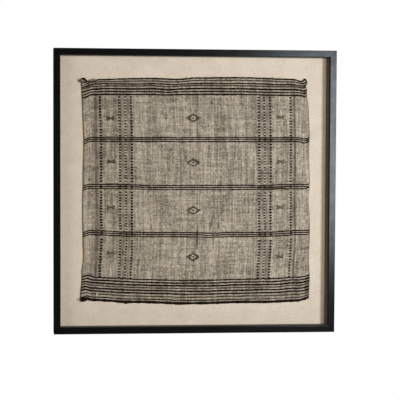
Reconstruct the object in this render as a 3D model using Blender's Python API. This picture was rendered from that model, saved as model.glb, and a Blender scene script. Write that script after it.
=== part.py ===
"""Hand-woven cloth mounted in a deep, square shadow-box frame.

Four black mitred rails carry a brown spacer strip in their rabbet. The strips
press a linen-covered board against the back, and the woven cloth lies on the
linen, a little wavy at its edges and with a few soft creases.

Frame: X to the right, Z up, the front faces -Y. The origin is the middle of
the back, which lies against the wall. Lengths are in metres.
"""
import math
from collections import namedtuple

import bmesh
import bpy
from mathutils import Vector

MM = 0.001

# Driving sizes
FRAME_SIDE = 1016 * MM
RAIL_FACE = 23.5 * MM
RAIL_DEPTH = 76 * MM
LIP_DEPTH = 19 * MM
RABBET_WIDTH = 10.5 * MM
FRONT_ROUND = 1.6 * MM
BACK_CHAMFER = 0.8 * MM
SPACER_SETBACK = 1.0 * MM
BOARD_THICKNESS = 6 * MM
LINEN_THICKNESS = 1 * MM
CLOTH_THICKNESS = 1.5 * MM
FIT = 0.3 * MM
ROUND_STEPS = 4

HALF_SIDE = FRAME_SIDE / 2
RAIL_WALL = RAIL_FACE - RABBET_WIDTH
BOARD_FRONT = -BOARD_THICKNESS
LINEN_BACK = BOARD_FRONT - FIT
LINEN_FRONT = LINEN_BACK - LINEN_THICKNESS
CLOTH_BACK = LINEN_FRONT - FIT
LIP_BACK = -RAIL_DEPTH + LIP_DEPTH
MITRE_CLEARANCE = FIT / math.sqrt(2)

# The cloth's upper and lower edges, in mm from the frame's centre, at stations
# across its width. The corners stand out as small ears beside a notch.
Station = namedtuple("Station", "across top bottom")
STATIONS = (
    Station(across=-411, top=402.0, bottom=-397.0),
    Station(across=-399, top=407.0, bottom=-398.0),
    Station(across=-391, top=399.0, bottom=-392.0),
    Station(across=-383, top=391.5, bottom=-390.0),
    Station(across=-372, top=400.0, bottom=-394.0),
    Station(across=-350, top=401.5, bottom=-396.0),
    Station(across=-305, top=404.0, bottom=-398.5),
    Station(across=-236, top=408.0, bottom=-404.0),
    Station(across=-164, top=409.0, bottom=-404.5),
    Station(across=-106, top=408.0, bottom=-408.0),
    Station(across=-66, top=406.0, bottom=-410.0),
    Station(across=-22, top=412.0, bottom=-411.0),
    Station(across=43, top=413.0, bottom=-410.0),
    Station(across=112, top=414.0, bottom=-408.5),
    Station(across=172, top=414.5, bottom=-406.5),
    Station(across=246, top=413.0, bottom=-409.5),
    Station(across=314, top=410.0, bottom=-405.5),
    Station(across=369, top=408.5, bottom=-401.5),
    Station(across=388, top=403.0, bottom=-400.5),
    Station(across=405, top=411.0, bottom=-398.0),
    Station(across=420, top=402.0, bottom=-392.0),
)

# The cloth's two selvedges, in mm, at sections down its height.
Section = namedtuple("Section", "height left right")
SECTIONS = (
    Section(height=402, left=-413.0, right=411.0),
    Section(height=385, left=-407.5, right=409.5),
    Section(height=371, left=-407.0, right=413.0),
    Section(height=357, left=-406.5, right=412.5),
    Section(height=330, left=-405.0, right=416.5),
    Section(height=292, left=-404.0, right=421.0),
    Section(height=250, left=-401.5, right=422.5),
    Section(height=199, left=-400.0, right=425.0),
    Section(height=150, left=-400.0, right=422.5),
    Section(height=78, left=-400.5, right=424.5),
    Section(height=28, left=-401.5, right=427.0),
    Section(height=-30, left=-402.0, right=426.0),
    Section(height=-102, left=-400.5, right=426.5),
    Section(height=-174, left=-401.5, right=427.0),
    Section(height=-254, left=-403.0, right=427.5),
    Section(height=-294, left=-407.0, right=429.0),
    Section(height=-330, left=-407.0, right=429.5),
    Section(height=-357, left=-409.5, right=428.5),
    Section(height=-392, left=-414.0, right=427.0),
)

# Soft ridges and creases that stand off the linen: the line each follows, its
# half width and its height, all in mm.
Fold = namedtuple("Fold", "name x0 z0 x1 z1 width height")
FOLDS = (
    Fold("left selvedge roll", x0=-388, z0=380, x1=-389, z1=-380, width=13, height=3.4),
    Fold("right selvedge roll", x0=404, z0=385, x1=415, z1=-380, width=12, height=2.2),
    Fold("top pucker", x0=-113, z0=405, x1=-112, z1=335, width=11, height=2.4),
    Fold("top middle crease", x0=10, z0=340, x1=8, z1=285, width=9, height=1.3),
    Fold("middle crease", x0=8, z0=-118, x1=9, z1=-214, width=9, height=2.2),
    Fold("slanting crease", x0=66, z0=-80, x1=57, z1=-140, width=9, height=1.5),
    Fold("short crease", x0=89, z0=-88, x1=88, z1=-140, width=8, height=1.2),
    Fold("bottom pucker", x0=-5, z0=-320, x1=-4, z1=-392, width=10, height=2.2),
)
# The corners lift off the linen, and the whole cloth lies in long low waves, in mm.
CORNER_ACROSS = 412
CORNER_HEIGHT = 402
CORNER_LIFT = 3.2
CORNER_REACH = 24
WAVE_HEIGHT = 0.7
WAVE_ACROSS = 71
WAVE_DOWN = 83
# The widest and narrowest cells of the sheet's grid, in mm.
GRID_STEP = 34
GRID_LEAST = 5.5


def add_material(obj, colour, roughness, metallic=0.0):
    """Give the object its own Principled material."""
    material = bpy.data.materials.new(obj.name)
    material.use_nodes = True
    shader = material.node_tree.nodes["Principled BSDF"]
    shader.inputs["Base Color"].default_value = (*colour, 1.0)
    shader.inputs["Roughness"].default_value = roughness
    shader.inputs["Metallic"].default_value = metallic
    obj.data.materials.append(material)


def add_object(name, bm):
    """Turn a bmesh into a named object with its faces pointing out."""
    bmesh.ops.recalc_face_normals(bm, faces=bm.faces)
    mesh = bpy.data.meshes.new(name)
    bm.to_mesh(mesh)
    bm.free()
    obj = bpy.data.objects.new(name, mesh)
    bpy.context.collection.objects.link(obj)
    return obj


def add_box(name, half_width, back, front):
    """A square board of the given half width between two depths."""
    bm = bmesh.new()
    bmesh.ops.create_cube(bm, size=1.0)
    size = Vector((2 * half_width, back - front, 2 * half_width))
    bmesh.ops.scale(bm, vec=size, verts=bm.verts)
    bmesh.ops.translate(bm, vec=(0, (back + front) / 2, 0), verts=bm.verts)
    return add_object(name, bm)


def rail_profile():
    """The L-shaped section of a rail, as (distance in from the outer edge, depth)."""
    angles = [math.radians(90) * step / ROUND_STEPS for step in range(ROUND_STEPS + 1)]
    rise = [FRONT_ROUND * (1 - math.sin(angle)) for angle in angles]
    run = [FRONT_ROUND * (1 - math.cos(angle)) for angle in angles]
    points = [(BACK_CHAMFER, 0.0), (0.0, -BACK_CHAMFER)]
    points += [(run[i], rise[i] - RAIL_DEPTH) for i in range(ROUND_STEPS + 1)]
    points += [(RAIL_FACE - rise[i], run[i] - RAIL_DEPTH) for i in range(ROUND_STEPS + 1)]
    points += [(RAIL_FACE, LIP_BACK), (RAIL_WALL, LIP_BACK), (RAIL_WALL, 0.0)]
    return points


def spacer_profile():
    """The strip that fills the rabbet between the lip and the linen."""
    outer = RAIL_WALL + FIT
    inner = RAIL_FACE - SPACER_SETBACK
    back = LINEN_FRONT - FIT
    front = LIP_BACK + FIT
    return [(outer, back), (outer, front), (inner, front), (inner, back)]


def add_mitred_strip(name, profile, turn):
    """Sweep a section along one side of the frame, cut at 45 degrees at both ends.

    The strip is laid out along the top side and turned about the Y axis.
    """
    bm = bmesh.new()
    ends = []
    for side in (-1, 1):
        ring = []
        for inward, depth in profile:
            half_length = HALF_SIDE - inward - MITRE_CLEARANCE
            ring.append(bm.verts.new((side * half_length, depth, HALF_SIDE - inward)))
        ends.append(ring)
        bm.faces.new(ring)
    count = len(profile)
    for i in range(count):
        j = (i + 1) % count
        bm.faces.new((ends[0][i], ends[0][j], ends[1][j], ends[1][i]))
    strip = add_object(name, bm)
    strip.rotation_euler = (0, turn, 0)
    strip.data.shade_smooth()
    strip.data.set_sharp_from_angle(angle=math.radians(35))
    return strip


def curve_through(table, key, value, at):
    """Read a smooth curve through a table's rows at one place along it."""
    rows = sorted(table, key=lambda row: getattr(row, key))
    places = [getattr(row, key) for row in rows]
    values = [getattr(row, value) for row in rows]
    at = min(max(at, places[0]), places[-1])
    i = 0
    while i < len(places) - 2 and at > places[i + 1]:
        i += 1

    def slope(k):
        low = max(k - 1, 0)
        high = min(k + 1, len(places) - 1)
        return (values[high] - values[low]) / (places[high] - places[low])

    span = places[i + 1] - places[i]
    t = (at - places[i]) / span
    start = (2 * t**3 - 3 * t**2 + 1) * values[i] + (t**3 - 2 * t**2 + t) * span * slope(i)
    end = (-2 * t**3 + 3 * t**2) * values[i + 1] + (t**3 - t**2) * span * slope(i + 1)
    return start + end


def cloth_point(across, height):
    """Where a point of the even rectangle lies on the uneven cloth, in mm.

    across runs over the stations and height over the sections. Both edges
    of each pair are blended over the cloth, so its outline follows the tables.
    """
    first, last = STATIONS[0].across, STATIONS[-1].across
    high, low = SECTIONS[0].height, SECTIONS[-1].height
    u = (across - first) / (last - first)
    v = (high - height) / (high - low)
    left = curve_through(SECTIONS, "height", "left", height) - first
    right = curve_through(SECTIONS, "height", "right", height) - last
    top = curve_through(STATIONS, "across", "top", across) - high
    bottom = curve_through(STATIONS, "across", "bottom", across) - low
    return across + left * (1 - u) + right * u, height + top * (1 - v) + bottom * v


def fold_rise(x, z):
    """How far the cloth stands off the linen at a point, in mm."""
    rise = WAVE_HEIGHT * (1 + math.sin(x / WAVE_ACROSS) * math.cos(z / WAVE_DOWN))
    for fold in FOLDS:
        run_x = fold.x1 - fold.x0
        run_z = fold.z1 - fold.z0
        length = math.hypot(run_x, run_z)
        along = ((x - fold.x0) * run_x + (z - fold.z0) * run_z) / length
        aside = ((x - fold.x0) * run_z - (z - fold.z0) * run_x) / length
        beyond = max(-along, along - length, 0.0)
        rise += fold.height * math.exp(-(aside / fold.width) ** 2 - (beyond / fold.width) ** 2)
    for side in (-1, 1):
        for end in (-1, 1):
            away = math.hypot(x - side * CORNER_ACROSS, z - end * CORNER_HEIGHT)
            rise += CORNER_LIFT * math.exp(-(away / CORNER_REACH) ** 2)
    return rise


def grid_lines(needed):
    """The places in needed, thinned where they crowd and filled where they are sparse."""
    needed = sorted(needed)
    lines = [needed[0]]
    for place in needed[1:-1]:
        if place - lines[-1] >= GRID_LEAST and needed[-1] - place >= GRID_LEAST:
            lines.append(place)
    lines.append(needed[-1])
    filled = []
    for low, high in zip(lines, lines[1:]):
        parts = math.ceil((high - low) / GRID_STEP)
        filled += [low + (high - low) * part / parts for part in range(parts)]
    return filled + [lines[-1]]


def add_cloth():
    """The woven cloth: one sheet of even thickness with its folds and wavy outline."""
    columns = [station.across for station in STATIONS]
    for fold in FOLDS:
        columns += [fold.x0 - fold.width, fold.x0, fold.x0 + fold.width]
    rows = [section.height for section in SECTIONS]
    columns = grid_lines(columns)
    rows = grid_lines(rows)
    bm = bmesh.new()
    back, front = [], []
    for height in rows:
        for across in columns:
            x, z = cloth_point(across, height)
            depth = CLOTH_BACK - fold_rise(x, z) * MM
            back.append(bm.verts.new((x * MM, depth, z * MM)))
            front.append(bm.verts.new((x * MM, depth - CLOTH_THICKNESS, z * MM)))
    wide = len(columns)
    tall = len(rows)
    for sheet in (back, front):
        for r in range(tall - 1):
            for c in range(wide - 1):
                near = r * wide + c
                below = near + wide
                bm.faces.new((sheet[near], sheet[near + 1], sheet[below + 1], sheet[below]))
    rim = list(range(wide))
    rim += [r * wide + wide - 1 for r in range(1, tall)]
    rim += [(tall - 1) * wide + c for c in range(wide - 2, -1, -1)]
    rim += [r * wide for r in range(tall - 2, 0, -1)]
    for i, j in zip(rim, rim[1:] + rim[:1]):
        bm.faces.new((back[i], back[j], front[j], front[i]))
    cloth = add_object("woven_cloth", bm)
    cloth.data.shade_smooth()
    cloth.data.set_sharp_from_angle(angle=math.radians(50))
    return cloth


def build():
    for obj in list(bpy.data.objects):
        bpy.data.objects.remove(obj)

    sides = {"top": 0.0, "right": 90.0, "bottom": 180.0, "left": 270.0}
    for side, degrees in sides.items():
        turn = math.radians(degrees)
        rail = add_mitred_strip(f"rail_{side}", rail_profile(), turn)
        add_material(rail, (0.010, 0.010, 0.010), 0.42)
        spacer = add_mitred_strip(f"spacer_{side}", spacer_profile(), turn)
        add_material(spacer, (0.085, 0.062, 0.045), 0.60)

    board = add_box("backing_board", HALF_SIDE - RAIL_WALL - FIT, 0.0, BOARD_FRONT)
    add_material(board, (0.33, 0.25, 0.17), 0.75)
    linen = add_box("linen_mat", HALF_SIDE - RAIL_WALL - FIT, LINEN_BACK, LINEN_FRONT)
    add_material(linen, (0.62, 0.54, 0.44), 0.90)
    cloth = add_cloth()
    add_material(cloth, (0.31, 0.26, 0.20), 0.92)


build()
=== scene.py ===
"""The looks of a hand-woven cloth mounted on linen in a deep black frame.

The rails, spacers and board keep the frame's own solids and get materials.
The cloth and the linen are new sheets. The cloth's dark wefts, its dotted
columns and its small figures are yarns that stand on the sheet.

Places on the cloth are flat ones, in mm: across (u, to the right) and up (v),
as on the loom. The tables below say how the cloth is pulled out of square.
"""
import math
import random
from collections import namedtuple

import bpy
import numpy as np
from mathutils import Matrix, Vector


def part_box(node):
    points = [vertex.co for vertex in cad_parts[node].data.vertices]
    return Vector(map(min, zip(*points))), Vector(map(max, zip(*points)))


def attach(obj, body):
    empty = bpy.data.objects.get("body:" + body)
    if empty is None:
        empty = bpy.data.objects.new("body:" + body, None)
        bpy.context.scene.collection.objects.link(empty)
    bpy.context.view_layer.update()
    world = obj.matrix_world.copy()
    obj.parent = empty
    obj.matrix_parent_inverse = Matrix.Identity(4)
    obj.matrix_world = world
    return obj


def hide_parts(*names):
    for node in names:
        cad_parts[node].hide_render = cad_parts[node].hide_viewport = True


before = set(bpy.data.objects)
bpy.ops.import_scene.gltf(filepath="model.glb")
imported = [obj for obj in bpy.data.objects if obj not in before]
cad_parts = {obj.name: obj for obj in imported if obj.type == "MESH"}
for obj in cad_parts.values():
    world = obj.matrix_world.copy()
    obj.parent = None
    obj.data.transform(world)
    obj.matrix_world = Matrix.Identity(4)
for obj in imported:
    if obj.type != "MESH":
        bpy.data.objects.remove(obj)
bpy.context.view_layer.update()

MM = 0.001
BODY = "root"

# Depths in front of the wall, in mm, as the frame has them
LINEN_FRONT = -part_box("linen_mat")[0][1] / MM
LINEN_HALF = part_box("linen_mat")[1][0] / MM
CLOTH_GAP = 0.3
CLOTH_THICKNESS = 1.5
CLOTH_FRONT = LINEN_FRONT + CLOTH_GAP + CLOTH_THICKNESS

# How far each weft named here lies above the frame's centre, in mm, at stations
# across the cloth. FLAT_HEIGHTS says where the same wefts lie on the loom.
Station = namedtuple("Station", "u top t4 t6 g1 g2 g3 b1 b3 b5 bottom")
STATIONS = [Station(*row) for row in (
    (-403, 401.0, 355.0, 335.0, 179.0, 12.5, -156.5, -309.0, -328.5, -356.5, -395.0),
    (-397, 406.5, 356.5, 336.5, 179.5, 14.0, -153.3, -307.3, -326.5, -355.0, -398.0),
    (-389, 403.0, 358.5, 338.0, 182.6, 17.0, -149.8, -304.4, -324.0, -352.3, -397.5),
    (-381, 396.5, 361.5, 341.0, 186.2, 18.5, -147.8, -302.4, -324.5, -354.4, -390.0),
    (-371, 400.5, 365.5, 346.2, 187.5, 18.5, -147.8, -305.6, -328.0, -357.2, -394.0),
    (-355, 402.0, 367.0, 347.5, 187.7, 18.3, -148.0, -309.8, -329.0, -359.0, -395.5),
    (-300, 403.5, 369.5, 349.3, 188.0, 18.3, -150.5, -312.0, -333.0, -362.5, -398.5),
    (-254, 406.0, 369.0, 349.2, 188.0, 18.0, -153.0, -314.7, -336.0, -365.5, -403.0),
    (-196, 407.5, 369.0, 349.4, 188.2, 16.2, -154.7, -318.0, -338.0, -367.5, -403.5),
    (-141, 408.5, 370.2, 349.7, 188.3, 14.8, -155.6, -319.5, -340.0, -369.5, -405.5),
    (-94, 406.5, 367.3, 348.0, 188.4, 14.6, -155.7, -321.5, -341.0, -370.3, -408.0),
    (-50, 406.0, 369.5, 349.9, 188.2, 14.9, -155.8, -322.4, -342.0, -372.5, -410.0),
    (5, 411.0, 371.9, 351.0, 188.9, 15.2, -156.3, -322.7, -342.8, -373.4, -409.5),
    (59, 412.0, 372.3, 351.8, 188.9, 15.0, -158.5, -322.5, -342.7, -373.2, -409.5),
    (114, 413.0, 372.3, 351.8, 189.2, 15.1, -156.2, -320.8, -341.4, -371.3, -407.5),
    (169, 414.0, 372.3, 352.1, 189.5, 15.5, -155.7, -320.0, -339.6, -370.8, -406.5),
    (265, 412.5, 370.7, 350.6, 189.6, 16.3, -155.2, -318.5, -339.2, -368.7, -407.5),
    (317, 410.0, 370.3, 349.8, 190.1, 18.2, -153.0, -317.0, -338.5, -368.0, -405.8),
    (369, 408.5, 370.6, 349.7, 190.5, 19.3, -149.3, -313.0, -333.3, -363.9, -403.3),
    (391, 402.6, 369.6, 349.5, 188.6, 19.3, -149.3, -313.0, -333.2, -364.3, -402.3),
    (401, 401.4, 367.2, 348.5, 185.4, 18.7, -149.5, -311.3, -332.0, -363.0, -399.3),
    (413, 408.0, 366.5, 346.5, 187.2, 19.0, -149.0, -309.0, -328.5, -360.0, -394.8),
    (425, 404.0, 371.0, 350.4, 193.4, 21.5, -147.5, -305.0, -325.0, -356.0, -389.0),
)]
FLAT_HEIGHTS = Station(0, 411.0, 371.0, 351.0, 188.8, 15.5, -155.5, -321.0, -341.0, -371.0, -408.0)

# Where the two selvedges and the warp between them lie, in mm from their flat
# place, at sections down the cloth.
Section = namedtuple("Section", "v left middle right")
SECTIONS = [Section(*row) for row in (
    (411, -7.0, -3.5, -14.0),
    (400, -6.0, -3.5, -10.5),
    (385, -4.5, -3.5, -15.5),
    (371, -4.0, -3.5, -12.0),
    (357, -3.5, -3.5, -12.5),
    (330, -2.0, -3.5, -8.5),
    (292, -1.0, -2.0, -4.0),
    (250, 1.5, -1.0, -2.5),
    (199, 3.0, 0.5, 0.0),
    (150, 3.0, 0.5, -2.5),
    (78, 0.8, 1.2, 0.0),
    (28, 0.6, 1.2, 2.0),
    (-30, -0.6, 1.2, -2.4),
    (-102, -0.8, 1.5, 2.6),
    (-174, 0.3, 3.0, 2.8),
    (-254, 1.9, -1.0, 0.5),
    (-294, -4.0, -3.0, 2.4),
    (-330, -4.0, -3.0, 4.5),
    (-357, -6.5, -3.0, 3.5),
    (-408, -11.0, -3.0, 2.0),
)]
LEFT = STATIONS[0].u
RIGHT = STATIONS[-1].u
TOP = FLAT_HEIGHTS.top
BOTTOM = FLAT_HEIGHTS.bottom

# A selvedge pulls at the warp this far into the cloth, in mm
SELVEDGE_REACH = 60

# The same ridges and creases as the solid has, in mm
Fold = namedtuple("Fold", "x0 z0 x1 z1 width height")
FOLDS = [Fold(*row) for row in (
    (-388, 380, -389, -380, 13, 3.4),
    (404, 385, 415, -380, 12, 2.2),
    (-113, 405, -112, 335, 11, 2.4),
    (10, 340, 8, 285, 9, 1.3),
    (8, -118, 9, -214, 9, 2.2),
    (66, -80, 57, -140, 9, 1.5),
    (89, -88, 88, -140, 8, 1.2),
    (-5, -320, -4, -392, 10, 2.2),
)]

# The four corners lift off the linen, and long low waves cross the cloth, in mm
CORNER_ACROSS = 412
CORNER_HEIGHT = 402
CORNER_LIFT = 3.2
CORNER_REACH = 24
WAVE_HEIGHT = 0.7
WAVE_ACROSS = 71
WAVE_DOWN = 83

# The dark wefts from top to bottom: flat height, half width, tone of yarn and
# how much of it lies on the face (1 is all of it)
Weft = namedtuple("Weft", "v half_width tone shown", defaults=("black", 1.0))
WEFTS = [Weft(*row) for row in (
    (409.3, 2.7),
    (400.0, 2.3, "brown", 0.9),
    (389.5, 2.5),
    (382.0, 2.7, "brown", 0.85),
    (371.0, 3.2),
    (361.0, 2.5),
    (351.0, 2.8),
    (195.3, 2.2),
    (188.8, 2.0, "black", 0.95),
    (181.0, 2.2),
    (22.8, 2.2),
    (15.5, 2.2),
    (7.8, 2.0, "black", 0.95),
    (-148.3, 2.3),
    (-155.5, 2.1, "black", 0.95),
    (-163.4, 2.1),
    (-321.0, 2.6),
    (-331.0, 2.8),
    (-341.2, 3.2),
    (-350.5, 2.4, "brown", 0.7),
    (-360.5, 3.0),
    (-371.0, 2.9),
    (-382.0, 2.2, "brown", 0.9),
    (-393.3, 2.3),
    (-403.8, 4.9),
)]

# The columns of short dark floats: their size, and how wide the light floats
# between them are, in mm
DotColumn = namedtuple("DotColumn", "u width height light")
DOT_COLUMNS = [DotColumn(*row) for row in (
    (-337.5, 9.3, 6.2, 0.0),
    (-268.8, 8.3, 5.5, 4.0),
    (-247.5, 7.0, 4.5, 8.2),
    (-226.0, 8.5, 6.3, 0.0),
    (239.0, 8.8, 6.0, 6.5),
    (259.2, 6.5, 4.2, 8.2),
    (280.9, 8.2, 6.1, 0.0),
    (355.6, 7.6, 5.8, 0.0),
)]

# The dotted fields: the flat heights of their first and last rows of dots
DotBand = namedtuple("DotBand", "first last rows")
DOT_BANDS = (
    DotBand(341.4, 202.6, 14),
    DotBand(170.7, 35.1, 14),
    DotBand(-5.3, -137.6, 14),
    DotBand(-180.0, -317.6, 14),
)
# Between the grouped wefts the columns go on as browner floats at these heights
DOT_FILLS = (191.8, 184.8, 19.0, 11.6, -152.0, -159.4)
FILL_HEIGHT = 3.4

# Dots stray by up to these mm across and up, and fills across. Their sizes vary
# between two shares. A share of the gaps has a light float, this high in mm and
# as wide as a share of its column's, between two more.
DOT_STRAY = (0.5, 0.4)
FILL_STRAY = 0.4
DOT_SIZES = (0.88, 1.1)
LIGHT_SHARE = 0.75
LIGHT_HEIGHT = 2.6
LIGHT_WIDTHS = (0.4, 0.9)

# Where a dark weft leaves its line or swells: the weft's flat height, the place,
# how far that reaches, how far it rises in mm and the share it thickens by
Change = namedtuple("Change", "v u reach rise swell")
CHANGES = [Change(*row) for row in (
    (409.3, -403, 3, 0, -0.8),
    (409.3, -392, 6, 0, 0.9),
    (409.3, -364, 13, -8, -0.3),
    (409.3, 416, 4, 2.5, 0.0),
    (389.5, -399, 13, -5, -0.5),
    (389.5, -335, 50, 2.4, 0.0),
    (389.5, 421, 6, 0, 0.25),
    (382.0, 412, 9, 1, 0.1),
    (371.0, 416, 7, 0, 0.4),
    (15.5, 418, 6, -2.5, 0.2),
    (7.8, 418, 6, 3, 0.2),
    (361.0, 419, 6, 0, 0.6),
    *((v, 421, 5, 0, 0.15) for v in (-321.0, -331.0, -341.2, -360.5, -371.0)),
    (-393.3, 330, 100, 0, -0.45),
    (-403.8, -395, 7, 1.5, 0.35),
    (-403.8, -243, 5, -1, 0.3),
)]

# Loose lengths on the face: the flat places they pass, half width and tone
Strand = namedtuple("Strand", "u v half_width tone")
STRANDS = [Strand(*row) for row in (
    ((-400, -394, -388, -382), (395, 397, 398.5, 401.5), 1.3, "black"),
    ((-394, -389, -384), (392.5, 392, 394), 1.2, "brown"),
    ((-397, -391, -385), (401, 403, 403), 1.7, "faint"),
    ((-395, -392, -390), (395, 395, 394.5), 1.5, "light"),
    ((-382, -378, -375), (398.5, 397.8, 397.8), 1.9, "black"),
    ((-390, -381, -372), (383, 386, 388), 1.4, "brown"),
    ((400, 408, 417), (399.5, 399, 400), 2.6, "black"),
    ((418, 422, 423, 420), (407, 406, 401, 397), 1.7, "brown"),
    ((421, 415, 411), (391, 389, 386.5), 1.7, "black"),
    ((411, 416, 418), (386.5, 384, 382), 1.5, "black"),
    ((418, 415, 411), (382, 380.5, 378.5), 1.7, "black"),
    ((375, 376, 376), (390, 385, 377), 1.5, "brown"),
    ((-400, -394, -388), (-399, -399.5, -398.5), 2.4, "black"),
    ((-400, -394, -387), (-396.5, -396.5, -396.5), 2.0, "black"),
    ((-348.6, -348.2, -348.2), (-376, -383, -389), 2.1, "light"),
    ((-347, -342, -338), (-377, -377, -377), 1.2, "light"),
    ((-331, -302, -273), (197.2, 197.6, 197.2), 2.3, "faint"),
    ((-331, -302, -273), (194.6, 195, 194.8), 1.6, "brown"),
    ((-331, -302, -273), (191.8, 191.8, 191.8), 2.6, "faint"),
    ((-326, -300, -276), (26.2, 26.6, 26), 1.4, "faint"),
    ((254, 295, 338), (11.4, 11.6, 11.4), 2.2, "faint"),
    ((-357, -354, -352), (-393, -393.5, -393), 1.9, "black"),
    ((232, 270, 306), (96.4, 96, 95.2), 0.8, "light"),
    ((20, 21, 21), (42, 0, -44), 0.7, "faint"),
    ((-52, -52, -52), (4, -20, -44), 0.7, "faint"),
    ((-73.5, -74, -74), (-99, -108, -117), 0.9, "brown"),
    ((-97.5, -97.5, -97.5), (111, 97, 83), 0.9, "faint"),
    ((46, 47, 48), (-268, -283, -297), 0.9, "faint"),
)]

# Frayed spots at the rim: flat place, reach and number of loose fibres
Fray = namedtuple("Fray", "u v reach fibres")
FRAYS = (
    Fray(-407.5, 407.0, 6.0, 80),
    Fray(-374, 410, 5.0, 36),
    Fray(-360, 410, 6.0, 30),
    Fray(-26, 412.5, 4.0, 12),
    Fray(288, 411.5, 5.0, 10),
    Fray(314, 411.5, 6.0, 14),
    Fray(-408, -402, 4.0, 14),
)

# Loose fibres, in mm: their spread across and up as shares of the spot's reach,
# how much they bend, their lengths, half sizes and lift off the face
FIBRE_SPREAD = (0.5, 0.4)
FIBRE_BEND = 0.6
FIBRE_LENGTHS = (3, 8)
FIBRE_HALF_WIDTH = 0.22
FIBRE_HALF_HEIGHT = 0.2
FIBRE_LIFT = 0.5

# Small figures, charted: # dark, + worn, o light, . open ground
RINGED_DIAMOND = (
    "..........+..........",
    ".........+++.........",
    ".......++###++.......",
    ".....+###+++###+.....",
    "...+####.oo.####++...",
    ".+++####o..oo.####+..",
    "+++++##o.###.o+####++",
    "+++++##o.###.o+####++",
    ".+####+.o..oo.####+..",
    "...+####.oo.####++...",
    ".....+###+++###++....",
    ".......++###++.......",
    "........+++++........",
    "..........+..........",
)
PLAIN_DIAMOND = (
    "..........+..........",
    "........++++.........",
    "......++####++.......",
    "....+++##++###++.....",
    "..+++##+...++###++...",
    ".++#+++......+####++.",
    "+++++...+++...+####++",
    "++++....+##+...+###++",
    ".++++.........+####..",
    "..+##++......+###+...",
    "....+###++..+##+.....",
    "......+######+.......",
    "........++++.........",
    "..........+..........",
)
BOW = (
    "###.......+##",
    "#####+..+####",
    "++######++##+",
    ".++#######+++",
    "+#####+###+++",
    "####+...+###+",
    "##+.......+#+",
)

# The chart, the size of its cells in mm, its flat places and its two tones
Figure = namedtuple("Figure", "chart cell u heights dark worn")
FIGURES = (
    Figure(RINGED_DIAMOND, 2.5, -1.5, (266, -236), "brown", "faint"),
    Figure(PLAIN_DIAMOND, 2.45, -1.5, (105, -67), "brown", "faint"),
    Figure(BOW, 2.3, -302.3, (264, 107), "brown", "faint"),
    Figure(BOW, 2.3, -302.3, (-61, -229), "faint", "faint"),
    Figure(BOW, 2.3, 317.0, (270, 107, -60, -241), "faint", "pale"),
)

# Charted floats stray and vary by shares of a cell, and their half width is one.
# Of those shorter than so many cells, a share has worn away.
CHART_STRAY = 0.35
CHART_VARIES = 0.3
CHART_HALF_WIDTH = 0.52
CHART_SHORT = 3
CHART_LOST = 0.06

# Plain weave of the ground: yarns in each direction are this far apart, in mm.
# Their tones change over (mm across the yarns, mm along them) by a weight, and
# each kind of change has a noise of its own.
YARN_PITCH = 1.45
WARP_TONES = ((3.8, 14, 1.65), (4.4, 100, 1.8), (17, 120, 1.2))
WEFT_TONES = ((3.4, 14, 1.55), (3.6, 90, 1.3), (17, 70, 0.6))
WARP_NOISE = 0.0
WEFT_NOISE = 40.0
NOISE_APART = 7.3
PATCH_WEIGHT = 0.28

# Colours of the ground, from its dark yarns to its light ones, then of its
# browner patches and of the shade in the gaps between yarns
GROUND_TONES = (
    (0.10, (0.105, 0.083, 0.061)),
    (0.40, (0.333, 0.279, 0.211)),
    (0.60, (0.526, 0.443, 0.343)),
    (0.90, (0.828, 0.716, 0.568)),
)
PATCH_TONE = (0.36, 0.29, 0.21)
GAP_TONE = (0.05, 0.039, 0.029)

# Painted shade along the creases, painted light on the lower left roll, and three
# darker patches: flat place, half sizes in mm, how dark (+) or pale (-) they are,
# and how far they lean to the right on the way up. Each is full within the first
# share of its half sizes and gone at the second.
SHADE_MARK_CORE = 0.4
SHADE_MARK_RIM = 1.3
SHADE_TONE = (0.075, 0.056, 0.040)
PAINTED_LIGHT_TONE = (0.80, 0.70, 0.56)
ShadeMark = namedtuple("ShadeMark", "u v half_u half_v depth lean", defaults=(0,))
# The pale row is painted light on the left roll. The rows at the top left corner, the first weft group
# and the bottom right are darker patches. The rest are painted crease shade.
PAINTED_SHADE_MARKS = [ShadeMark(*row) for row in (
    (-113, 361, 7, 14, 0.45),
    (-297, 191, 28, 6, 0.40),
    (417, -382, 6, 11, 0.30),
    (-394, 385, 12, 14, 0.25),
    (16, 324, 5, 28, 0.56),
    (9.5, -166, 4.8, 44, 0.92, 0.03),
    (-393, -110, 9, 230, -0.34),
    (5, -262, 7, 36, 0.20),
    (66, -100, 6, 26, 0.42, 0.22),
    (60, -122, 4.4, 15, 0.66, 0.22),
    (89, -123, 3.8, 14, 0.74, 0.23),
)]

# Darker stripes of the warp: flat place, half width and half the width of their
# soft edges, in mm, and how dark they are. They fade to a share of that at both
# ends of the cloth, between these heights in mm.
STRIPE_TONE = (0.06, 0.047, 0.035)
STRIPE_FADE = 0.35
STRIPE_TOP = (345, 375)
STRIPE_BOTTOM = (-345, -318)
Stripe = namedtuple("Stripe", "u half_width edge depth")
STRIPES = [Stripe(*row) for row in (
    (-290.0, 75.0, 12.0, 0.06),
    (-361.0, 9.0, 6.0, 0.20),
    (-354.0, 4.4, 2.2, 0.60),
    (-341.0, 9.0, 3.0, 0.26),
    (-246.0, 21.0, 2.5, 0.32),
    (260.3, 19.5, 3.0, 0.34),
    (363.0, 6.0, 3.0, 0.16),
    (370.5, 2.9, 1.8, 0.80),
)]

# Uneven yarns: how far a value wanders, over how many mm, and from which seed
Wander = namedtuple("Wander", "size step seed")
WEFT_SWAY = (Wander(0.35, 22, 100),)
WEFT_SLUB = (Wander(0.16, 9, 200), Wander(0.10, 3.2, 300))
WEFT_DIVE = (Wander(0.6, 13, 400), Wander(0.4, 4.5, 500))
SELVEDGE_SLUB = (Wander(0.2, 7, 31),)
SELVEDGE_SWAY = (Wander(0.3, 17, 32),)

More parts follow.
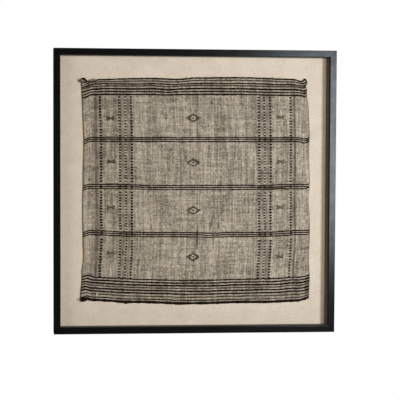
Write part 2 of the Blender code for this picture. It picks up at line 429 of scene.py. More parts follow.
# The dark wefts, in mm: they start inside the rim, swell between the warps in
# beads, and dive into the cloth where their wandering falls below a level
WEFT_START = 0.5
WEFT_HALF_HEIGHT = 0.62
BEAD_PITCH = 1.3
BEAD_SWELL = 0.15
DIVE_LEVEL = 0.75
DIVE_STEEPNESS = 3
DIVE_DEPTH = 0.35
WEFT_SINK = 0.2

# The cords of the selvedges: edge, way from it and half width, in mm
SELVEDGES = ((LEFT, 1.6, 1.3), (RIGHT, -1.4, 0.5))
SELVEDGE_START = 2
SELVEDGE_HALF_HEIGHT = 0.8
SELVEDGE_STRETCH = 1.5

# Loose lengths: shares of their width from end to end, half height and lift in mm
STRAND_TAPER = (0.7, 0.9, 1, 1, 1, 1, 1, 0.9, 0.7)
STRAND_HALF_HEIGHT = 0.7
STRAND_LIFT = 0.35

# A short float: places along it as shares of half its length, its lift at them,
# its half height and how far it strays, in mm
PICK_PLACES = (-1.0, -0.85, -0.3, 0.3, 0.85, 1.0)
PICK_LIFTS = (-0.1, 0.35, 0.5, 0.5, 0.35, -0.1)
PICK_HALF_HEIGHT = 0.6
PICK_STRAY = 0.15

# A block of floats: how far apart they lie and stray, in mm, their half width as
# a share of the first, how their lengths vary, and how they shorten to a round
FLOAT_PITCH = 1.6
FLOAT_STRAY = 0.25
FLOAT_HALF_WIDTH = 0.62
FLOAT_LENGTHS = (0.9, 1.06)
FLOAT_LONGEST = 1.2
FLOAT_ROUNDING = 2.6

# The two sheets, in mm: thickness, slubs and soft swells. The linen's face lies
# a little behind its solid's, and its rim is sharp from an angle in degrees.
GROUND_THICKNESS = 1.2
GROUND_SLUB = 0.12
LINEN_THICKNESS = 1.0
LINEN_SINK = 0.15
LINEN_SWELL = 0.12
LINEN_SWELL_ACROSS = 47
LINEN_SWELL_LEAN = 130
LINEN_SWELL_UP = 61
LINEN_SHARP_ANGLE = 40

# How finely things are meshed. A step is in mm, and YARN_END is the share of its
# thickness that a yarn keeps at its ends.
SHEET_COLUMNS = 214
SHEET_ROWS = 210
LINEN_STEPS = 60
YARN_STEP = 1.6
YARN_SIDES = 6
FIBRE_SIDES = 3
FIBRE_POINTS = 5
YARN_END = 0.25

# Seeds of the random draws
GROUND_SEED = 5
DOT_SEED = 11
FIGURE_SEED = 23
FIBRE_SEED = 41

UV_MAP = "weave"
UV_MIDDLE = 0.5

# The lacquer is satin on the rails' front face and matt behind these depths, in mm
FACE_FRONT = -75.8
FACE_BACK = -75.2


def curve(places, values, at):
    """Smooth curves through values at places, which may have one column per point of at."""
    places = np.asarray(places, float)
    values = np.asarray(values, float)
    if values.ndim == 1:
        values = np.repeat(values[:, None], len(at), 1)
    slopes = np.empty_like(values)
    slopes[1:-1] = (values[2:] - values[:-2]) / (places[2:] - places[:-2])[:, None]
    slopes[0] = (values[1] - values[0]) / (places[1] - places[0])
    slopes[-1] = (values[-1] - values[-2]) / (places[-1] - places[-2])
    at = np.clip(at, places[0], places[-1])
    i = np.clip(np.searchsorted(places, at, side="right") - 1, 0, len(places) - 2)
    n = np.arange(len(at))
    span = places[i + 1] - places[i]
    t = (at - places[i]) / span
    near = (2 * t**3 - 3 * t**2 + 1) * values[i, n] + (t**3 - 2 * t**2 + t) * span * slopes[i, n]
    far = (-2 * t**3 + 3 * t**2) * values[i + 1, n] + (t**3 - t**2) * span * slopes[i + 1, n]
    return near + far


def place(u, v):
    """Where flat places of the cloth lie in the frame, as x and z in mm."""
    u = np.asarray(u, float)
    v = np.asarray(v, float)
    stations = [station.u for station in STATIONS]
    names = Station._fields[:0:-1]
    heights = [getattr(FLAT_HEIGHTS, name) for name in names]
    pulled = [
        curve(stations, [getattr(station, name) for station in STATIONS], u) - height
        for name, height in zip(names, heights)
    ]
    z = v + curve(heights, pulled, v)

    rows = SECTIONS[::-1]
    sections = [row.v for row in rows]
    left = curve(sections, [row.left for row in rows], v)
    middle = curve(sections, [row.middle for row in rows], v)
    right = curve(sections, [row.right for row in rows], v)
    near_left = np.clip(1 - (u - LEFT) / SELVEDGE_REACH, 0, 1) ** 2
    near_right = np.clip(1 - (RIGHT - u) / SELVEDGE_REACH, 0, 1) ** 2
    x = u + left * near_left + right * near_right + middle * (1 - near_left - near_right)
    return x, z


def rise(x, z):
    """How far the cloth stands off the linen, in mm, beyond its own gap."""
    total = WAVE_HEIGHT * (1 + np.sin(x / WAVE_ACROSS) * np.cos(z / WAVE_DOWN))
    for fold in FOLDS:
        run_x = fold.x1 - fold.x0
        run_z = fold.z1 - fold.z0
        length = math.hypot(run_x, run_z)
        along = ((x - fold.x0) * run_x + (z - fold.z0) * run_z) / length
        aside = ((x - fold.x0) * run_z - (z - fold.z0) * run_x) / length
        beyond = np.maximum(np.maximum(-along, along - length), 0)
        total = total + fold.height * np.exp(-(aside / fold.width) ** 2 - (beyond / fold.width) ** 2)
    for side in (-1, 1):
        for end in (-1, 1):
            away = np.hypot(x - side * CORNER_ACROSS, z - end * CORNER_HEIGHT)
            total = total + CORNER_LIFT * np.exp(-(away / CORNER_REACH) ** 2)
    return total


def on_cloth(u, v, lift=0.0):
    """Points on the cloth's face at flat places, lifted off it, in metres."""
    x, z = place(u, v)
    return np.stack([x, -(CLOTH_FRONT + rise(x, z) + lift), z], 1) * MM


def flat_map(u, v):
    """Flat places as a UV map: metres, with the cloth's centre at the map's middle."""
    return np.stack([np.asarray(u, float), np.asarray(v, float)], 1) * MM + UV_MIDDLE


def on_map(distance):
    """Where a flat place, in mm, lies on one axis of the UV map."""
    return UV_MIDDLE + distance * MM


def add_mesh(name, points, faces, uv, material):
    """A smooth piece from its points, its faces and one UV place for each point."""
    mesh = bpy.data.meshes.new(name)
    mesh.from_pydata(points.tolist(), [], faces)
    corners = np.empty(len(mesh.loops), np.int32)
    mesh.loops.foreach_get("vertex_index", corners)
    layer = mesh.uv_layers.new(name=UV_MAP)
    layer.data.foreach_set("uv", uv.astype(np.float32)[corners].ravel())
    mesh.shade_smooth()
    mesh.materials.append(material)
    obj = bpy.data.objects.new(name, mesh)
    bpy.context.collection.objects.link(obj)
    return obj


def sheet_faces(columns, rows, upward):
    """The faces of a closed sheet: a grid in front, the same grid behind it and the edge.

    The points run along the rows first, and upward says that the rows go up.
    """
    count = columns * rows
    r, c = np.meshgrid(np.arange(rows - 1), np.arange(columns - 1), indexing="ij")
    near = (r * columns + c).ravel()
    front = np.stack([near, near + 1, near + columns + 1, near + columns], 1)
    rim = list(range(columns))
    rim += [r * columns + columns - 1 for r in range(1, rows)]
    rim += [(rows - 1) * columns + c for c in range(columns - 2, -1, -1)]
    rim += [r * columns for r in range(rows - 2, 0, -1)]
    pairs = zip(rim, rim[1:] + rim[:1])
    if upward:
        edge = [[j, i, i + count, j + count] for i, j in pairs]
    else:
        front = front[:, ::-1]
        edge = [[i, j, j + count, i + count] for i, j in pairs]
    return front.tolist() + (front[:, ::-1] + count).tolist() + edge


def unit(vectors):
    """The same directions at length 1."""
    return vectors / (np.linalg.norm(vectors, axis=1)[:, None] + 1e-12)


class Yarns:
    """Gathers short and long lengths of yarn, to be joined as one mesh."""

    def __init__(self, sides=YARN_SIDES):
        self.sides = sides
        self.points = []
        self.faces = []
        self.uv = []
        self.count = 0

    def add(self, u, v, half_width, half_height, lift):
        """One length through flat places, closed at both ends."""
        path = on_cloth(u, v, lift)
        steps = len(path)
        front = np.array([0.0, -1.0, 0.0])
        aside = unit(np.cross(unit(np.gradient(path, axis=0)), front))
        taper = np.ones(steps)
        taper[[0, -1]] = YARN_END
        wide = (np.broadcast_to(half_width, steps) * taper * MM)[:, None]
        tall = (np.broadcast_to(half_height, steps) * taper * MM)[:, None]
        rings = []
        for side in range(self.sides):
            angle = math.tau * side / self.sides
            rings.append(path + aside * wide * math.cos(angle) + front * tall * math.sin(angle))
        base = self.count
        s, k = np.meshgrid(np.arange(steps - 1), np.arange(self.sides), indexing="ij")
        a = base + s * self.sides + k
        b = base + s * self.sides + (k + 1) % self.sides
        quads = np.stack([a, b, b + self.sides, a + self.sides], -1).reshape(-1, 4)
        last = base + (steps - 1) * self.sides
        self.points.append(np.stack(rings, 1).reshape(-1, 3))
        self.faces += quads.tolist()
        self.faces.append([base + k for k in range(self.sides)][::-1])
        self.faces.append([last + k for k in range(self.sides)])
        self.uv.append(np.repeat(flat_map(u, v), self.sides, 0))
        self.count += steps * self.sides

    def join(self, name, material):
        """All the lengths as one piece."""
        return add_mesh(name, np.concatenate(self.points), self.faces, np.concatenate(self.uv), material)


def join_all(gathered, materials, kind):
    """One piece for each tone of yarn."""
    return [gathered[tone].join(f"{tone}_{kind}", material) for tone, material in materials.items()]


def wander(at, kinds, shift=0):
    """Smooth random values along a line: the sum of the kinds given, their seeds shifted."""
    first = float(np.min(at))
    last = float(np.max(at))
    total = np.zeros(len(at))
    for kind in kinds:
        draw = np.random.default_rng(kind.seed + shift)
        knots = np.arange(first - 2 * kind.step, last + 3 * kind.step, kind.step)
        total += kind.size * curve(knots, draw.uniform(-1, 1, len(knots)), at)
    return total


class Nodes:
    """A material's nodes, made in a few words each."""

    def __init__(self, name):
        self.material = bpy.data.materials.new(name)
        self.material.use_nodes = True
        self.tree = self.material.node_tree
        self.shader = self.tree.nodes["Principled BSDF"]

    def put(self, socket, value):
        if isinstance(value, bpy.types.NodeSocket):
            self.tree.links.new(value, socket)
        else:
            socket.default_value = value

    def uv(self):
        node = self.tree.nodes.new("ShaderNodeUVMap")
        node.uv_map = UV_MAP
        return node.outputs["UV"]

    def spot(self):
        return self.tree.nodes.new("ShaderNodeTexCoord").outputs["Object"]

    def stretch(self, vector, sizes):
        """Coordinates counted in cells of the given sizes, in mm. None leaves an axis out."""
        node = self.tree.nodes.new("ShaderNodeVectorMath")
        node.operation = "MULTIPLY"
        self.put(node.inputs[0], vector)
        node.inputs[1].default_value = [0.0 if size is None else 1 / (size * MM) for size in sizes]
        return node.outputs["Vector"]

    def noise(self, vector, detail=2.0, roughness=0.5):
        node = self.tree.nodes.new("ShaderNodeTexNoise")
        self.put(node.inputs["Vector"], vector)
        node.inputs["Scale"].default_value = 1.0
        node.inputs["Detail"].default_value = detail
        node.inputs["Roughness"].default_value = roughness
        return node.outputs["Fac"]

    def cloud(self, vector, sizes, detail=2.0, roughness=0.5):
        """Noise in cells of the given sizes, in mm."""
        return self.noise(self.stretch(vector, sizes), detail, roughness)

    def join(self, x, y, z=0.0):
        node = self.tree.nodes.new("ShaderNodeCombineXYZ")
        for socket, value in zip(node.inputs, (x, y, z)):
            self.put(socket, value)
        return node.outputs["Vector"]

    def parts(self, vector):
        node = self.tree.nodes.new("ShaderNodeSeparateXYZ")
        self.put(node.inputs[0], vector)
        return node.outputs

    def math(self, operation, *values):
        node = self.tree.nodes.new("ShaderNodeMath")
        node.operation = operation
        for socket, value in zip(node.inputs, values):
            self.put(socket, value)
        return node.outputs["Value"]

    def add(self, a, b):
        return self.math("ADD", a, b)

    def less(self, a, b):
        return self.math("SUBTRACT", a, b)

    def times(self, a, b):
        return self.math("MULTIPLY", a, b)

    def apart(self, a, b):
        return self.math("ABSOLUTE", self.less(a, b))

    def between(self, value, low, high, start=0.0, end=1.0):
        """value taken from low to high onto start to end, and held there."""
        node = self.tree.nodes.new("ShaderNodeMapRange")
        node.interpolation_type = "SMOOTHSTEP"
        self.put(node.inputs["Value"], value)
        node.inputs["From Min"].default_value = low
        node.inputs["From Max"].default_value = high
        node.inputs["To Min"].default_value = start
        node.inputs["To Max"].default_value = end
        return node.outputs["Result"]

    def ramp(self, value, stops):
        node = self.tree.nodes.new("ShaderNodeValToRGB")
        self.put(node.inputs["Fac"], value)
        elements = node.color_ramp.elements
        while len(elements) < len(stops):
            elements.new(0.5)
        for element, (position, colour) in zip(elements, stops):
            element.position = position
            element.color = (*colour, 1.0)
        return node.outputs["Color"]

    def mix(self, amount, a, b):
        """Colour a turned towards b. A Mix node keeps its colours at these numbers."""
        node = self.tree.nodes.new("ShaderNodeMix")
        node.data_type = "RGBA"
        self.put(node.inputs[0], amount)
        for number, value in ((6, a), (7, b)):
            plain = not isinstance(value, bpy.types.NodeSocket)
            self.put(node.inputs[number], (*value, 1.0) if plain else value)
        return node.outputs[2]

    def bump(self, height, distance, strength=1.0):
        node = self.tree.nodes.new("ShaderNodeBump")
        node.inputs["Distance"].default_value = distance * MM
        node.inputs["Strength"].default_value = strength
        self.put(node.inputs["Height"], height)
        self.put(self.shader.inputs["Normal"], node.outputs["Normal"])

    def finish(self, colour, roughness, **sockets):
        self.put(self.shader.inputs["Base Color"], colour)
        self.put(self.shader.inputs["Roughness"], roughness)
        for name, value in sockets.items():
            self.put(self.shader.inputs[name.replace("_", " ")], value)
        return self.material


def weave_height(nodes, flat, pitch):
    """The over and under of a plain weave whose yarns are pitch mm apart."""
    u, v, _ = nodes.parts(nodes.stretch(flat, (pitch / math.pi, pitch / math.pi, None)))
    crossing = nodes.times(nodes.math("SINE", u), nodes.math("SINE", v))
    return nodes.math("MULTIPLY_ADD", crossing, 0.5, 0.5)


def yarn_tone(nodes, number, along, kinds, seed):
    """How light the yarn with this number is at a place along it, around 0."""
    tone = 0.0
    for reach, length, weight in kinds:
        from_yarn = nodes.times(number, YARN_PITCH / reach)
        from_place = nodes.times(along, YARN_PITCH / length)
        noise = nodes.noise(nodes.join(from_yarn, from_place, seed), detail=1.0)
        tone = nodes.math("MULTIPLY_ADD", nodes.less(noise, 0.5), weight, tone)
        seed += NOISE_APART
    return tone


def striped(nodes, colour, flat):
    """The colour with the darker warp stripes, which are uneven and weaker at both ends."""
    across, up, _ = nodes.parts(flat)
    uneven = nodes.between(nodes.cloud(flat, (40, 26, None), detail=1.0), 0.3, 0.6, 0.6, 1.1)
    upper = nodes.between(up, *map(on_map, STRIPE_TOP), 1.0, STRIPE_FADE)
    lower = nodes.between(up, *map(on_map, STRIPE_BOTTOM), STRIPE_FADE, 1.0)
    strength = nodes.times(uneven, nodes.times(upper, lower))
    for stripe in STRIPES:
        away = nodes.apart(across, on_map(stripe.u))
        inner = (stripe.half_width - stripe.edge) * MM
        outer = (stripe.half_width + stripe.edge) * MM
        amount = nodes.times(nodes.between(away, inner, outer, stripe.depth, 0.0), strength)
        colour = nodes.mix(amount, colour, STRIPE_TONE)
    return colour


def with_painted_shade(nodes, colour, flat):
    """The colour with painted shade along the creases, painted light on the lower left roll and a few
    darker patches.
    """
    across, up, _ = nodes.parts(flat)
    for shade_mark in PAINTED_SHADE_MARKS:
        height = on_map(shade_mark.v)
        middle = on_map(shade_mark.u) - shade_mark.lean * height
        beside = nodes.apart(nodes.math("MULTIPLY_ADD", up, -shade_mark.lean, across), middle)
        above = nodes.apart(up, height)
        amount = 1.0
        for away, half, full in (
            (beside, shade_mark.half_u * MM, abs(shade_mark.depth)),
            (above, shade_mark.half_v * MM, 1.0),
        ):
            share = nodes.between(away, SHADE_MARK_CORE * half, SHADE_MARK_RIM * half, full, 0.0)
            amount = nodes.times(amount, share)
        # Painted shade turns the colour darker, painted light turns it paler
        tone = SHADE_TONE if shade_mark.depth > 0 else PAINTED_LIGHT_TONE
        colour = nodes.mix(amount, colour, tone)
    return colour


def ground_material():
    """Coarse hand-spun cotton in plain weave: every yarn has a tone and slubs of its own."""
    nodes = Nodes("woven_ground")
    flat = nodes.uv()
    u, v, _ = nodes.parts(nodes.stretch(flat, (YARN_PITCH, YARN_PITCH, None)))
    wave_u = nodes.math("SINE", nodes.times(u, math.pi))
    wave_v = nodes.math("SINE", nodes.times(v, math.pi))
    crossing = nodes.times(wave_u, wave_v)
    warp_tone = yarn_tone(nodes, nodes.math("FLOOR", u), v, WARP_TONES, WARP_NOISE)
    weft_tone = yarn_tone(nodes, nodes.math("FLOOR", v), u, WEFT_TONES, WEFT_NOISE)

    warp_share = nodes.between(crossing, -0.12, 0.12)
    weft_share = nodes.less(1.0, warp_share)
    value = nodes.add(nodes.times(warp_share, warp_tone), nodes.times(weft_share, weft_tone))
    patch = nodes.cloud(flat, (10, 14, None), roughness=0.6)
    value = nodes.add(value, nodes.times(nodes.less(patch, 0.5), PATCH_WEIGHT))
    colour = nodes.ramp(nodes.add(value, 0.5), GROUND_TONES)
    tint = nodes.cloud(flat, (14, 19, None), detail=1.0)
    colour = nodes.mix(nodes.between(tint, 0.4, 0.7, 0.0, 0.3), colour, PATCH_TONE)
    colour = striped(nodes, colour, flat)
    # Painted shade along the creases and painted light on the lower left roll
    colour = with_painted_shade(nodes, colour, flat)
    roundness = nodes.math("ABSOLUTE", crossing)
    colour = nodes.mix(nodes.between(roundness, 0.0, 0.45, 0.55, 0.0), colour, GAP_TONE)
    height = nodes.math("MULTIPLY_ADD", nodes.add(warp_tone, weft_tone), 1.6, roundness)
    nodes.bump(height, distance=0.6, strength=0.8)
    return nodes.finish(colour, 0.93, Specular_IOR_Level=0.2, Sheen_Weight=0.12, Sheen_Roughness=0.6)


def yarn_material(name, dark, light, light_share):
    """Twisted yarn: a dark ply with lighter flecks where the ground shows through."""
    nodes = Nodes(name)
    flat = nodes.uv()
    ply = nodes.cloud(flat, (5.0, 1.5, None), detail=3.0, roughness=0.6)
    long = nodes.cloud(flat, (28, 6, None))
    value = nodes.math("MULTIPLY_ADD", ply, 0.6, nodes.times(long, 0.4))
    middle = 0.68 - light_share
    colour = nodes.ramp(value, ((middle - 0.12, dark), (middle + 0.12, light)))
    bead = weave_height(nodes, flat, BEAD_PITCH)
    nodes.bump(nodes.add(bead, ply), distance=0.5, strength=0.8)
    return nodes.finish(colour, 0.9, Specular_IOR_Level=0.08)


def linen_material():
    """Fine plain linen with a few slubs."""
    nodes = Nodes("linen_weave")
    flat = nodes.uv()
    warp = nodes.cloud(flat, (1.6, 30, None), roughness=0.6)
    weft = nodes.cloud(flat, (34, 1.5, None), roughness=0.6)
    broad = nodes.cloud(flat, (60, 50, None))
    value = nodes.math("MULTIPLY_ADD", warp, 0.4, nodes.times(weft, 0.4))
    value = nodes.add(value, nodes.times(broad, 0.2))
    colour = nodes.ramp(
        value,
        (
            (0.36, (0.573, 0.482, 0.387)),
            (0.50, (0.668, 0.576, 0.472)),
            (0.64, (0.754, 0.664, 0.557)),
        ),
    )
    weave = weave_height(nodes, flat, 0.9)
    # Painted shade in the low places of the weave, between the yarns
    colour = nodes.mix(nodes.between(weave, 0.0, 0.5, 0.12, 0.0), colour, (0.42, 0.34, 0.26))
    nodes.bump(nodes.add(weave, value), distance=0.3, strength=0.5)
    return nodes.finish(colour, 0.92, Specular_IOR_Level=0.2)


def rail_material(name, grain):
    """Black lacquer, satin on the front face and matt beside it. grain is its stretch, in mm."""
    nodes = Nodes(name)
    spot = nodes.spot()
    fibre = nodes.cloud(spot, grain, detail=3.0, roughness=0.6)
    broad = nodes.cloud(spot, (35, 35, 35))
    colour = nodes.ramp(fibre, ((0.3, (0.0030, 0.0030, 0.0032)), (0.7, (0.0065, 0.0060, 0.0058))))
    satin = nodes.between(broad, 0.3, 0.7, 0.22, 0.26)
    _, depth, _ = nodes.parts(spot)
    matt = nodes.between(depth, FACE_FRONT * MM, FACE_BACK * MM, 0.0, 0.6)
    nodes.bump(fibre, distance=0.12, strength=0.25)
    return nodes.finish(colour, nodes.add(satin, matt), Specular_IOR_Level=0.138)


def wood_material(name, grain, dark, light, roughness):
    """Plain wood with its grain stretched as given, in mm."""
    nodes = Nodes(name)
    spot = nodes.spot()
    fibre = nodes.cloud(spot, grain, detail=4.0, roughness=0.62)
    band = nodes.cloud(spot, [size * 7 for size in grain], detail=1.0)
    value = nodes.math("MULTIPLY_ADD", fibre, 0.65, nodes.times(band, 0.35))
    colour = nodes.ramp(value, ((0.35, dark), (0.65, light)))
    nodes.bump(fibre, distance=0.25, strength=0.4)
    return nodes.finish(colour, roughness, Specular_IOR_Level=0.3)


def dress_solids():
    """The wooden pieces keep their solids and get their finish."""
    brown = ((0.040, 0.028, 0.020), (0.120, 0.090, 0.066), 0.6)
    finishes = {}
    for way, grain, sides in (
        ("across", (160, 1.6, 1.6), ("top", "bottom")),
        ("upright", (1.6, 1.6, 160), ("left", "right")),
    ):
        black_lacquer = rail_material(f"black_lacquer_{way}", grain)
        brown_stain = wood_material(f"brown_stain_{way}", grain, *brown)
        for side in sides:
            finishes[f"rail_{side}"] = black_lacquer
            finishes[f"spacer_{side}"] = brown_stain
    finishes["backing_board"] = wood_material(
        "bare_board", (4, 4, 190), (0.25, 0.175, 0.11), (0.44, 0.34, 0.235), 0.72
    )
    for node, material in finishes.items():
        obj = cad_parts[node]
        obj.data.materials.clear()
        obj.data.materials.append(material)


def add_linen():
    """The linen over the board: one stretched sheet that stands in for its solid."""
    ways = np.linspace(-LINEN_HALF, LINEN_HALF, LINEN_STEPS)
    x, z = [part.ravel() for part in np.meshgrid(ways, ways)]
    swell = LINEN_SWELL * np.sin(x / LINEN_SWELL_ACROSS + z / LINEN_SWELL_LEAN)
    swell = swell * np.sin(z / LINEN_SWELL_UP)
    front = np.stack([x, -(LINEN_FRONT - LINEN_SINK + swell), z], 1) * MM
    back = np.stack([x, np.full(len(x), LINEN_THICKNESS - LINEN_FRONT), z], 1) * MM
    points = np.concatenate([front, back])
    faces = sheet_faces(LINEN_STEPS, LINEN_STEPS, upward=True)
    uv = np.concatenate([flat_map(x, z)] * 2)
    linen = add_mesh("linen_cover", points, faces, uv, linen_material())
    linen.data.set_sharp_from_angle(angle=math.radians(LINEN_SHARP_ANGLE))
    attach(linen, BODY)
    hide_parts("linen_mat")


def add_ground():
    """The cloth's sheet: face, back and edge, with its slubs as low relief."""
    across = np.linspace(LEFT, RIGHT, SHEET_COLUMNS)
    down = np.linspace(TOP, BOTTOM, SHEET_ROWS)
    u, v = [part.ravel() for part in np.meshgrid(across, down)]
    slub = np.random.default_rng(GROUND_SEED).uniform(-GROUND_SLUB, GROUND_SLUB, len(u))
    points = np.concatenate([on_cloth(u, v, slub), on_cloth(u, v, -GROUND_THICKNESS)])
    faces = sheet_faces(SHEET_COLUMNS, SHEET_ROWS, upward=False)
    uv = np.concatenate([flat_map(u, v)] * 2)
    return add_mesh("cloth_ground", points, faces, uv, ground_material())


def add_wefts(materials):
    """The dark picks: each a row of beads of yarn with thick and thin places."""
    gathered = {tone: Yarns() for tone in materials}
    u = np.arange(LEFT + WEFT_START, RIGHT, YARN_STEP)
    bead = 1 + BEAD_SWELL * np.sin(u * math.pi / BEAD_PITCH)
    for number, weft in enumerate(WEFTS):
        sway = wander(u, WEFT_SWAY, number)
        swell = np.ones(len(u))
        for change in CHANGES:
            if change.v == weft.v:
                near = np.exp(-(((u - change.u) / change.reach) ** 2))
                sway = sway + change.rise * near
                swell = swell + change.swell * near
        slub = 1 + wander(u, WEFT_SLUB, number)
        level = wander(u, WEFT_DIVE, number) + 2 * weft.shown - DIVE_LEVEL
        lift = DIVE_DEPTH * np.clip(DIVE_STEEPNESS * level, -1, 1) - WEFT_SINK
        half_width = weft.half_width * slub * swell
        half_height = WEFT_HALF_HEIGHT * slub * bead
        gathered[weft.tone].add(u, weft.v + sway, half_width, half_height, lift)
    names = {"black": "dark_wefts", "brown": "brown_wefts"}
    return [gathered[tone].join(name, materials[tone]) for tone, name in names.items()]


def add_strands(materials):
    """The loose lengths: doubled turns at the selvedges, knots and light slubs."""
    gathered = {tone: Yarns() for tone in materials}
    at = np.linspace(0, 1, len(STRAND_TAPER))
    for strand in STRANDS:
        ends = np.linspace(0, 1, len(strand.u))
        u = curve(ends, strand.u, at)
        v = curve(ends, strand.v, at)
        half_width = strand.half_width * np.array(STRAND_TAPER)
        gathered[strand.tone].add(u, v, half_width, STRAND_HALF_HEIGHT, STRAND_LIFT)
    return join_all(gathered, materials, "strands")


def add_fibres(material):
    """Loose fibres where the rim is frayed."""
    yarns = Yarns(sides=FIBRE_SIDES)
    draw = random.Random(FIBRE_SEED)
    spread_across, spread_up = FIBRE_SPREAD
    steps = np.linspace(-0.5, 0.5, FIBRE_POINTS)
    for fray in FRAYS:
        for _ in range(fray.fibres):
            u = draw.gauss(fray.u, fray.reach * spread_across)
            v = draw.gauss(fray.v, fray.reach * spread_up)
            turn = draw.uniform(0, math.tau)
            bend = draw.uniform(-FIBRE_BEND, FIBRE_BEND)
            length = draw.uniform(*FIBRE_LENGTHS)
            along = length * steps
            aside = bend * length * steps**2
            across = u + along * math.cos(turn) - aside * math.sin(turn)
            up = v + along * math.sin(turn) + aside * math.cos(turn)
            yarns.add(across, up, FIBRE_HALF_WIDTH, FIBRE_HALF_HEIGHT, FIBRE_LIFT)
    return yarns.join("frayed_fibres", material)


def add_pick(yarns, u, v, length, half_width, draw):
    """One short float: it comes up, lies on the face and goes down again."""
    places = u + length / 2 * np.array(PICK_PLACES)
    heights = np.full(len(places), v + draw.uniform(-PICK_STRAY, PICK_STRAY))
    yarns.add(places, heights, half_width, PICK_HALF_HEIGHT, np.array(PICK_LIFTS))


def add_float(yarns, u, v, width, height, draw):
    """A block of short floats, one above the other, the middle ones the longest."""
    rows = max(1, round(height / FLOAT_PITCH))
    for row in range(rows):
        aside = (row - (rows - 1) / 2) / rows
        stray = draw.uniform(-FLOAT_STRAY, FLOAT_STRAY)
        length = width * (FLOAT_LONGEST - FLOAT_ROUNDING * aside * aside) * draw.uniform(*FLOAT_LENGTHS)
        add_pick(yarns, u + stray, v + aside * height, length, FLOAT_HALF_WIDTH * height / rows, draw)


def add_dots(black, brown, light):
    """The dotted columns, with light floats between the dots of the finer ones."""
    dark_floats = Yarns()
    brown_floats = Yarns()
    light_floats = Yarns()
    draw = random.Random(DOT_SEED)
    stray_across, stray_up = DOT_STRAY
    for column in DOT_COLUMNS:
        for band in DOT_BANDS:
            pitch = (band.first - band.last) / (band.rows - 1)
            for row in range(band.rows):
                v = band.first - row * pitch + draw.uniform(-stray_up, stray_up)
                u = column.u + draw.uniform(-stray_across, stray_across)
                size = draw.uniform(*DOT_SIZES)
                add_float(dark_floats, u, v, column.width * size, column.height * size, draw)
                if column.light and draw.random() < LIGHT_SHARE:
                    width = column.light * draw.uniform(*LIGHT_WIDTHS)
                    add_float(light_floats, u, v - pitch / 2, width, LIGHT_HEIGHT * size, draw)
        for v in DOT_FILLS:
            u = column.u + draw.uniform(-FILL_STRAY, FILL_STRAY)
            add_float(brown_floats, u, v, column.width, FILL_HEIGHT, draw)
    return [
        dark_floats.join("dark_dots", black),
        brown_floats.join("brown_floats", brown),
        light_floats.join("light_floats", light),
    ]


def runs(line):
    """The stretches of one mark in a line of a chart: mark, start and length."""
    start = 0
    for end in range(1, len(line) + 1):
        if end == len(line) or line[end] != line[start]:
            yield line[start], start, end - start
            start = end


def add_figures(materials):
    """The diamonds and bows, worked in floats from their charts."""
    gathered = {tone: Yarns() for tone in materials}
    draw = random.Random(FIGURE_SEED)
    for figure in FIGURES:
        tones = {"#": figure.dark, "+": figure.worn, "o": "light"}
        middle = (len(figure.chart) - 1) / 2
        for height in figure.heights:
            for row, line in enumerate(figure.chart):
                v = height + (middle - row) * figure.cell
                for mark, start, count in runs(line):
                    if mark == "." or (count < CHART_SHORT and draw.random() < CHART_LOST):
                        continue
                    stray = draw.uniform(-CHART_STRAY, CHART_STRAY)
                    u = figure.u + (start + (count - len(line)) / 2 + stray) * figure.cell
                    length = (count + draw.uniform(-CHART_VARIES, CHART_VARIES)) * figure.cell
                    add_pick(gathered[tones[mark]], u, v, length, CHART_HALF_WIDTH * figure.cell, draw)
    return join_all(gathered, materials, "figures")


def add_selvedges(material):
    """The cords of doubled warp that close both long sides."""
    yarns = Yarns()
    v = np.arange(TOP - SELVEDGE_START, BOTTOM + SELVEDGE_START, -YARN_STEP * SELVEDGE_STRETCH)
    slub = 1 + wander(-v, SELVEDGE_SLUB)
    sway = wander(-v, SELVEDGE_SWAY)
    for edge, inward, half_width in SELVEDGES:
        yarns.add(edge + inward + sway, v, half_width * slub, SELVEDGE_HALF_HEIGHT * slub, 0.0)
    return yarns.join("selvedges", material)


def add_cloth():
    """Everything that makes up the woven cloth."""
    black = yarn_material("dark_yarn", (0.0085, 0.0046, 0.0025), (0.030, 0.018, 0.011), 0.10)
    brown = yarn_material("brown_yarn", (0.026, 0.017, 0.011), (0.095, 0.069, 0.047), 0.20)
    faint = yarn_material("faint_yarn", (0.065, 0.048, 0.034), (0.170, 0.132, 0.098), 0.20)
    pale = yarn_material("pale_yarn", (0.125, 0.098, 0.072), (0.290, 0.238, 0.182), 0.20)
    light = yarn_material("light_yarn", (0.480, 0.415, 0.320), (0.740, 0.665, 0.550), 0.25)
    ground = add_ground()
    pieces = add_wefts({"black": black, "brown": brown})
    pieces += add_strands({"black": black, "brown": brown, "faint": faint, "light": light})
    pieces += add_dots(black, brown, light)
    pieces += add_figures({"brown": brown, "faint": faint, "pale": pale, "light": light})
    pieces.append(add_selvedges(brown))
    pieces.append(add_fibres(faint))
    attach(ground, BODY)
    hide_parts("woven_cloth")
    for piece in pieces:
        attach(piece, BODY)


def add_camera():
    """The photo's viewpoint: square on to the frame, from near its left side."""
    turn = math.radians(5.618)
    tilt = math.radians(-3.058)
    roll = math.radians(0.147)
    data = bpy.data.cameras.new("camera")
    data.lens = 126.74
    data.sensor_width = 36.0
    data.shift_x = 0.120
    data.shift_y = 0.0978
    camera = bpy.data.objects.new("camera", data)
    camera.matrix_world = (
        Matrix.Translation((-0.65, -5.076, 0.10))
        @ Matrix.Rotation(-turn, 4, "Z")
        @ Matrix.Rotation(math.pi / 2 + tilt, 4, "X")
        @ Matrix.Rotation(roll, 4, "Z")
    )
    bpy.context.collection.objects.link(camera)
    bpy.context.scene.camera = camera


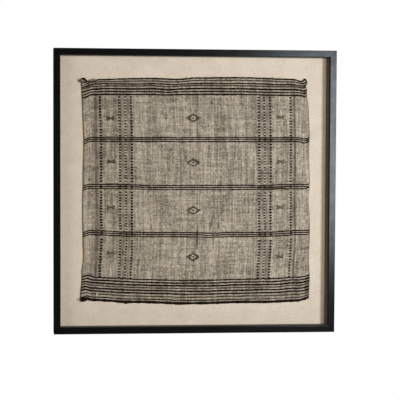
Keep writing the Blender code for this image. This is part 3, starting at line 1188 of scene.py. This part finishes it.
def add_area(name, spot, target, size, power, colour=(1.0, 1.0, 1.0)):
    """A soft light at spot, turned to its target. size is across and up, in metres."""
    data = bpy.data.lights.new(name, "AREA")
    data.shape = "RECTANGLE"
    data.size, data.size_y = size
    data.energy = power
    data.color = colour
    lamp = bpy.data.objects.new(name, data)
    away = Vector(spot) - Vector(target)
    lamp.matrix_world = Matrix.Translation(spot) @ away.to_track_quat("Z", "Y").to_matrix().to_4x4()
    bpy.context.collection.objects.link(lamp)


def add_lights():
    """Soft lights at the right and left, one behind, and a warm one from the front."""
    add_area("key", (0.93, -2.25, 0.18), (0.93, 0.0, 0.18), (0.30, 1.00), 44.3, (0.845, 0.92, 1.0))
    add_area("side", (-1.9, -2.1, 0.2), (-0.2, 0.0, 0.0), (1.0, 1.6), 11.7, (0.90, 0.96, 1.0))
    add_area("back", (-1.6, 3.0, 1.8), (0.0, 0.0, 0.0), (2.0, 2.0), 60)
    front = bpy.data.lights.new("front", "SUN")
    front.energy = 0.95
    front.angle = math.radians(6)
    front.color = (1.0, 0.84, 0.62)
    lamp = bpy.data.objects.new("front", front)
    lamp.matrix_world = Matrix.Rotation(math.pi / 2, 4, "X")
    lamp.visible_glossy = False
    bpy.context.collection.objects.link(lamp)


def add_floor():
    """A pale floor well below."""
    level = -1.4
    reach = 2.2
    mesh = bpy.data.meshes.new("floor")
    corners = [(-reach, -reach), (reach, -reach), (reach, reach), (-reach, reach)]
    mesh.from_pydata([(x, y, level) for x, y in corners], [], [(0, 1, 2, 3)])
    mesh.materials.append(Nodes("floor_finish").finish((0.75, 0.75, 0.74, 1.0), 0.8))
    floor = bpy.data.objects.new("floor", mesh)
    bpy.context.collection.objects.link(floor)


def add_world():
    """A world that looks white and lights the scene only a little."""
    world = bpy.data.worlds.new("world")
    world.use_nodes = True
    tree = world.node_tree
    dim = tree.nodes["Background"]
    white = tree.nodes.new("ShaderNodeBackground")
    for background, strength in ((dim, 0.05), (white, 1.0)):
        background.inputs["Color"].default_value = (1.0, 1.0, 1.0, 1.0)
        background.inputs["Strength"].default_value = strength
    path = tree.nodes.new("ShaderNodeLightPath")
    mix = tree.nodes.new("ShaderNodeMixShader")
    tree.links.new(path.outputs["Is Camera Ray"], mix.inputs["Fac"])
    tree.links.new(dim.outputs["Background"], mix.inputs[1])
    tree.links.new(white.outputs["Background"], mix.inputs[2])
    tree.links.new(mix.outputs["Shader"], tree.nodes["World Output"].inputs["Surface"])
    bpy.context.scene.world = world
    bpy.context.scene.view_settings.view_transform = "Standard"


add_camera()
dress_solids()
add_linen()
add_cloth()
add_floor()
add_lights()
add_world()
